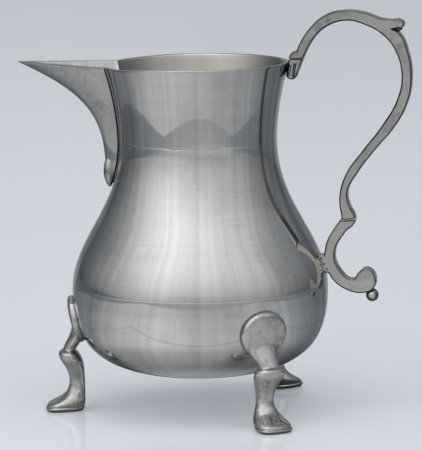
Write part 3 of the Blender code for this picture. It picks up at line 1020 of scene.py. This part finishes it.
def turning_lines(tree, from_axis):
    """What the lines around a turned piece add to its shade, roughness and bump."""
    level = vector_math(tree, "MULTIPLY", from_axis, (1, 1, 0))
    radius = vector_math(tree, "LENGTH", level, (0, 0, 0), "Value")
    along = part_of(tree, from_axis, "Z") + LINE_SLOPE * radius
    fine = line_noise(tree, along, *FINE_LINES)
    broad = line_noise(tree, along, *BROAD_LINES)
    shade = FINE_LINE_SHADE * fine + BROAD_LINE_SHADE * broad
    return shade, LINE_ROUGHNESS * fine, FINE_LINE_BUMP * fine + BROAD_LINE_BUMP * broad


def casting_marks(tree, place, mottle):
    """What a casting's spots, scratches and lumps add to its shade and bump."""
    sockets = {"Vector": place, "Rotation": SCRATCH_TURN, "Scale": SCRATCH_STRETCH}
    scratches = noise(tree, add_node(tree, "ShaderNodeMapping", {}, sockets), *SCRATCHES)
    spots = ramp_between(tree, mottle, *SPOTTED_MOTTLE)
    shade = SPOT_SHADE * spots + SCRATCH_SHADE * scratches
    return shade, SCRATCH_BUMP * scratches + LUMP_BUMP * noise(tree, place, *LUMPS)


def inside_of(tree, from_axis):
    """1 on the inside of a turned piece and 0 on its outside."""
    facing = add_node(tree, "ShaderNodeNewGeometry", {}, {}, "Normal")
    outward = vector_math(tree, "DOT_PRODUCT", facing, from_axis, "Value")
    return ramp_between(tree, outward, INSIDE_EDGE, -INSIDE_EDGE)


def painted_dark_edges(tree):
    """1 along the handle's edges, less on its sides, and 0 on its two flat faces: where a dark reflection is
    painted.
    """
    facing = add_node(tree, "ShaderNodeNewGeometry", {}, {}, "Normal")
    aside = part_of(tree, facing, "Y")
    flat = aside.math("ABSOLUTE", aside)
    return ramp_between(tree, flat, *EDGE_FACING) * ramp_between(tree, flat, *SIDE_FACING, SIDE_SHARE, 1)


def crevices(tree):
    """1 in crevices and where parts meet, which get tarnish and painted shade, and 0 where the surface is
    open.
    """
    settings = {"samples": CREVICE_SAMPLES}
    openness = add_node(tree, "ShaderNodeAmbientOcclusion", settings, {"Distance": CREVICE_REACH}, "AO")
    return ramp_between(tree, openness, *CREVICE_OPENNESS)


def pewter(name, turned=False, filed=False):
    """Polished metal with clouds, mottling, pits, and tarnish with painted shade in crevices. A turned piece
    has lines around it, and is duller and warmer inside. Others have a casting's marks, and a filed one also
    has a painted dark reflection along its edges and painted light on its lower end."""
    light, dark, roughness = FINISHES[name]
    material, tree, shader = new_material(name)
    place = add_node(tree, "ShaderNodeTexCoord", {}, {}, "Object")
    clouds = noise(tree, place, *(TURNED_CLOUDS if turned else CAST_CLOUDS))
    mottle = noise(tree, place, *MOTTLE)
    dull = ramp_between(tree, clouds, *DULL_CLOUDS)
    pits = pits_in(tree, place, clouds)

    shade = CLOUD_SHADE * dull + MOTTLE_SHADE * mottle - SHADE_OFF
    rough = roughness + CLOUD_ROUGHNESS * dull + MOTTLE_ROUGHNESS * mottle
    height = WAVE_BUMP * noise(tree, place, *WAVES) + RIPPLE_BUMP * noise(tree, place, *RIPPLE)
    height = height - PIT_BUMP * pits
    if turned:
        from_axis = vector_math(tree, "SUBTRACT", place, (*AXIS.xy, INSIDE_MIDDLE))
        line_shade, line_rough, line_height = turning_lines(tree, from_axis)
        shade = shade + line_shade
        rough = rough + line_rough
        height = height + line_height
    else:
        mark_shade, mark_height = casting_marks(tree, place, mottle)
        shade = shade + mark_shade
        height = height + mark_height

    colour = mix(tree, shade, (*light, 1), (*dark, 1))
    colour = mix(tree, PIT_TARNISH * pits, colour, TARNISH_AND_PAINTED_SHADE_COLOUR)
    if turned:
        inside = inside_of(tree, from_axis)
        colour = mix(tree, inside, colour, INSIDE_COLOUR)
        rough = rough + INSIDE_ROUGHNESS * inside
    if filed:
        # Painted light: the handle is paler towards its lower end
        low = ramp_between(tree, part_of(tree, place, "Z"), *PAINTED_LIGHT_BELOW)
        colour = mix(tree, low, colour, PAINTED_LIGHT_COLOUR)
        # Painted dark reflection along the handle's edges and sides
        colour = mix(tree, EDGE_PAINTED_DARKNESS * painted_dark_edges(tree), colour, TARNISH_AND_PAINTED_SHADE_COLOUR)
    # Tarnish and painted shade in crevices and where parts meet, from ambient occlusion
    tarnish = crevices(tree)
    colour = mix(tree, CREVICE_TARNISH_AND_SHADE * tarnish, colour, TARNISH_AND_PAINTED_SHADE_COLOUR)
    rough = rough + TARNISH_ROUGHNESS * tarnish

    shader.inputs["Metallic"].default_value = 1
    colour.feed(shader, "Base Color")
    rough.feed(shader, "Roughness")
    bump = add_node(tree, "ShaderNodeBump", {}, {"Height": height, "Strength": 1, "Distance": BUMP_DISTANCE})
    bump.feed(shader, "Normal")
    return material


# Camera, floor and light

# Camera: how far round from the front it stands, its place from there, and how it is turned
CAMERA_AZIMUTH = math.radians(8.5)
CAMERA_DISTANCE = 1.03037
CAMERA_HEIGHT = 0.20493
CAMERA_PITCH = math.radians(8.264)
CAMERA_YAW = math.radians(0.188)
CAMERA_ROLL = math.radians(0.662)
CAMERA_LENS = 280.553
SENSOR_HEIGHT = 36
CAMERA_CLIP = 0.01

# Floor: how much lighter it is to the eye than the light makes it, and the plain background beyond it
FLOOR_RADIUS = 9
FLOOR_COLOUR = (0.79, 0.82, 0.89, 1)
FLOOR_ROUGHNESS = 0.12
FLOOR_LIFT = 0.18
BACKGROUND = (0.60, 0.63, 0.70, 1)

# Reflector: a mat around the jug that shows only in the metal. It is a pale table with a dimmer room beyond
# its edges, and on the table a sheet, of which only the dark edge shows. Both greys go by degrees from the
# camera's side. Pairs are distances over which a change comes in.
MAT_HEIGHT = 0.0004
MAT_START = (0.010, 0.030)
# On the table: a painted shadow in the middle, under the jug, and a painted pool of light near the jug
SHADED_MIDDLE = (0.040, 0.060)
SHADED_LEVEL = 0.66
PAINTED_LIGHT_NEAR_JUG = (0.18, 0.11)
PAINTED_LIGHT_NEAR_LEVEL = 1.12
FAR_ROOM = (0.2, 1.1)
FAR_LEVEL = 1.6
SHEET_FRONT = 0.057
SHEET_SIDE = 0.085
SHEET_EDGE = 0.0020
SHEET_LINE = 0.25
TABLE_FRONT = 0.235
TABLE_SIDE = 0.28
TABLE_EDGE = 0.003
TABLE_TONES = (
    (-180, 0.44),
    (-154, 0.40),
    (-144, 0.22),
    (-106, 0.31),
    (-86, 0.56),
    (-68, 0.74),
    (-34, 0.79),
    (0, 0.72),
    (30, 0.63),
    (75, 0.46),
    (94, 0.30),
    (116, 0.22),
    (144, 0.20),
    (154, 0.40),
    (180, 0.44),
)
ROOM_TONES = (
    (-180, 0.44),
    (-154, 0.40),
    (-144, 0.18),
    (-109, 0.19),
    (-89, 0.33),
    (-40, 0.50),
    (0, 0.58),
    (30, 0.52),
    (69, 0.33),
    (86, 0.30),
    (105, 0.22),
    (144, 0.20),
    (154, 0.40),
    (180, 0.44),
)

# Light: its level around the jug, in degrees from the camera's side, and by the sine of the height above
# the horizon, how cool its dim parts are and the level at which it is neutral, and the scale, detail and
# depth of the soft folds in it
AROUND_THE_JUG = (
    (-180, 0.44),
    (-154, 0.40),
    (-144, 0.20),
    (-120, 0.33),
    (-96, 0.60),
    (-76, 1.02),
    (-59, 1.22),
    (-43, 1.34),
    (-28, 1.34),
    (-13, 1.19),
    (0, 1.15),
    (14, 1.10),
    (29, 1.02),
    (43, 0.94),
    (60, 0.86),
    (77, 0.62),
    (97, 0.42),
    (121, 0.32),
    (144, 0.20),
    (154, 0.40),
    (180, 0.44),
)
UP_THE_WALL = (
    (0, 0.50),
    (0.24, 0.72),
    (0.56, 0.91),
    (0.72, 0.98),
    (0.82, 1.03),
    (0.92, 1.05),
    (1, 1.25),
)
COOL_TINT = (0.90, 1.0, 1.12)
PALE_LEVEL = 0.75
FOLDS = (6, 4)
FOLD_DEPTH = 0.25

# Lamp overhead
OVERHEAD_POWER = 4.4
OVERHEAD_SIZE = 1.2
OVERHEAD_HEIGHT = 1.5


def set_camera():
    """The camera at the photograph's viewing angle."""
    data = bpy.data.cameras.new("camera")
    data.sensor_fit = "VERTICAL"
    data.sensor_height = SENSOR_HEIGHT
    data.lens = CAMERA_LENS
    data.clip_start = CAMERA_CLIP
    camera = bpy.data.objects.new("camera", data)
    bpy.context.scene.collection.objects.link(camera)
    level_right = Vector((math.cos(CAMERA_YAW), -math.sin(CAMERA_YAW), 0))
    forward = Vector((math.sin(CAMERA_YAW), math.cos(CAMERA_YAW), 0)) * math.cos(CAMERA_PITCH)
    forward.z = -math.sin(CAMERA_PITCH)
    level_up = level_right.cross(forward)
    right = math.cos(CAMERA_ROLL) * level_right - math.sin(CAMERA_ROLL) * level_up
    up = math.sin(CAMERA_ROLL) * level_right + math.cos(CAMERA_ROLL) * level_up
    look = Matrix((right, up, -forward)).transposed().to_4x4()
    stand = Matrix.Translation((0, -CAMERA_DISTANCE, CAMERA_HEIGHT))
    camera.matrix_world = Matrix.Translation(AXIS) @ Matrix.Rotation(CAMERA_AZIMUTH, 4, "Z") @ stand @ look
    bpy.context.scene.camera = camera


def stage_disc(name, height, material):
    """A broad level disc that the jug stands on and that isn't part of it."""
    builder = bmesh.new()
    bmesh.ops.create_circle(builder, cap_ends=True, segments=STAGE_SIDES, radius=FLOOR_RADIUS)
    bmesh.ops.translate(builder, vec=(0, 0, height), verts=builder.verts)
    mesh = mesh_of(name, builder)
    mesh.materials.append(material)
    disc = bpy.data.objects.new(name, mesh)
    bpy.context.scene.collection.objects.link(disc)
    return disc


def make_floor():
    """A pale floor, a little lighter to the eye and in the metal than the light makes it."""
    material, tree, shader = new_material("pale_floor")
    shader.inputs["Base Color"].default_value = FLOOR_COLOUR
    shader.inputs["Roughness"].default_value = FLOOR_ROUGHNESS
    camera_ray = add_node(tree, "ShaderNodeLightPath", {}, {}, "Is Camera Ray")
    seen = camera_ray.math("MAXIMUM", camera_ray, camera_ray.other("Is Glossy Ray"))
    seen = seen.math("MAXIMUM", seen, camera_ray.other("Is Transmission Ray"))
    glow = mix(tree, seen, (0, 0, 0, 1), FLOOR_COLOUR)
    glow.feed(shader, "Emission Color")
    shader.inputs["Emission Strength"].default_value = FLOOR_LIFT
    stage_disc("floor", 0, material)


def cooled(level):
    """A grey of a level, cooler the dimmer it is."""
    share = 1 - smooth_step(level, 0, PALE_LEVEL)
    return tuple(level * (1 + (tint - 1) * share) for tint in COOL_TINT)


def tones_around(tree, around, tones):
    """A grey that goes by the turn from the camera's side."""
    stops = [((degrees + 180) / 360, cooled(level)) for degrees, level in tones]
    return add_node(tree, "ShaderNodeValToRGB", {"stops": stops}, {"Fac": around * (1 / math.tau) + 0.5})


def folds(tree, around):
    """Soft upright folds in the light, around the jug."""
    return 1 - FOLD_DEPTH + 2 * FOLD_DEPTH * line_noise(tree, around, *FOLDS)


def camera_axes(tree, place):
    """How far towards the camera and to its right a place or direction is, and its turn to the right."""
    toward_camera = (math.sin(CAMERA_AZIMUTH), -math.cos(CAMERA_AZIMUTH), 0)
    to_the_right = (math.cos(CAMERA_AZIMUTH), math.sin(CAMERA_AZIMUTH), 0)
    forward = vector_math(tree, "DOT_PRODUCT", place, toward_camera, "Value")
    right = vector_math(tree, "DOT_PRODUCT", place, to_the_right, "Value")
    return forward, right, forward.math("ARCTAN2", right, forward)


def rectangle(tree, forward, right, front, side, edge):
    """1 on a rectangle that reaches forward and to both sides from behind the jug, with soft edges."""
    aside = right.math("ABSOLUTE", right)
    short_of_front = ramp_between(tree, forward, front + edge, front - edge)
    return short_of_front * ramp_between(tree, aside, side + edge, side - edge)


def make_reflector():
    """The mat that only the metal shows, open right under the jug, where the metal shows the floor."""
    material, tree, shader = new_material("reflector")
    shader.inputs["Roughness"].default_value = 1
    shader.inputs["Specular IOR Level"].default_value = 0
    place = add_node(tree, "ShaderNodeTexCoord", {}, {}, "Object")
    from_axis = vector_math(tree, "SUBTRACT", place, AXIS)
    radius = vector_math(tree, "LENGTH", from_axis, (0, 0, 0), "Value")
    forward, right, around = camera_axes(tree, from_axis)
    on_table = rectangle(tree, forward, right, TABLE_FRONT, TABLE_SIDE, TABLE_EDGE)
    on_sheet = rectangle(tree, forward, right, SHEET_FRONT, SHEET_SIDE, SHEET_EDGE)
    # 1 half way across the sheet's soft edge
    sheet_edge = 4 * on_sheet * (1 - on_sheet)
    # Painted shadow under the jug, and a painted pool of light on the table near it
    shade = ramp_between(tree, radius, *SHADED_MIDDLE, SHADED_LEVEL, 1) * folds(tree, around)
    shade = shade * ramp_between(tree, radius, *PAINTED_LIGHT_NEAR_JUG, 1, PAINTED_LIGHT_NEAR_LEVEL)
    shade = shade * ramp_between(tree, forward, *FAR_ROOM, 1, FAR_LEVEL)
    shade = shade * (1 - SHEET_LINE * sheet_edge)
    room = tones_around(tree, around, ROOM_TONES)
    table = tones_around(tree, around, TABLE_TONES)
    scaled(tree, mix(tree, on_table, room, table), shade).feed(shader, "Base Color")
    from_below = add_node(tree, "ShaderNodeNewGeometry", {}, {}, "Backfacing")
    cover = ramp_between(tree, radius, *MAT_START) * (1 - from_below)
    cover.feed(shader, "Alpha")
    mat = stage_disc("reflector", MAT_HEIGHT, material)
    mat.visible_camera = False
    mat.visible_diffuse = False
    mat.visible_shadow = False


def set_light():
    """A broad soft wall of light in front, dim sides and a pale back, as seen from the jug."""
    world = bpy.data.worlds.new("studio")
    world.use_nodes = True
    bpy.context.scene.world = world
    tree = world.node_tree
    direction = add_node(tree, "ShaderNodeTexCoord", {}, {}, "Generated")
    around = camera_axes(tree, direction)[2]
    wall = tones_around(tree, around, AROUND_THE_JUG)
    stops = [(sine, [level] * 3) for sine, level in UP_THE_WALL]
    rise = add_node(tree, "ShaderNodeValToRGB", {"stops": stops}, {"Fac": part_of(tree, direction, "Z")})
    level = scaled(tree, vector_math(tree, "MULTIPLY", wall, rise), folds(tree, around))
    camera_ray = add_node(tree, "ShaderNodeLightPath", {}, {}, "Is Camera Ray")
    mix(tree, camera_ray, level, BACKGROUND).feed(tree.nodes["Background"], "Color")


def hang_lamp():
    """A broad soft lamp overhead, which gives the floor its light and the jug its shadow."""
    data = bpy.data.lights.new("overhead_lamp", "AREA")
    data.energy = OVERHEAD_POWER
    data.size = OVERHEAD_SIZE
    lamp = bpy.data.objects.new("overhead_lamp", data)
    lamp.location = (AXIS.x, AXIS.y, OVERHEAD_HEIGHT)
    lamp.visible_glossy = False
    bpy.context.scene.collection.objects.link(lamp)


set_camera()
make_body_upper(pewter("turned_pewter", turned=True))
make_body_lower(pewter("bowl_pewter_painted_lighter", turned=True))
make_spout(pewter("spout_pewter_painted_darker"))
make_handle(pewter("filed_pewter_painted_light_and_shade", filed=True))
cast_pewter = pewter("cast_pewter")
for leg in LEGS:
    make_leg(leg, cast_pewter)
make_floor()
make_reflector()
set_light()
hang_lamp()
bpy.context.scene.view_settings.view_transform = "Standard"
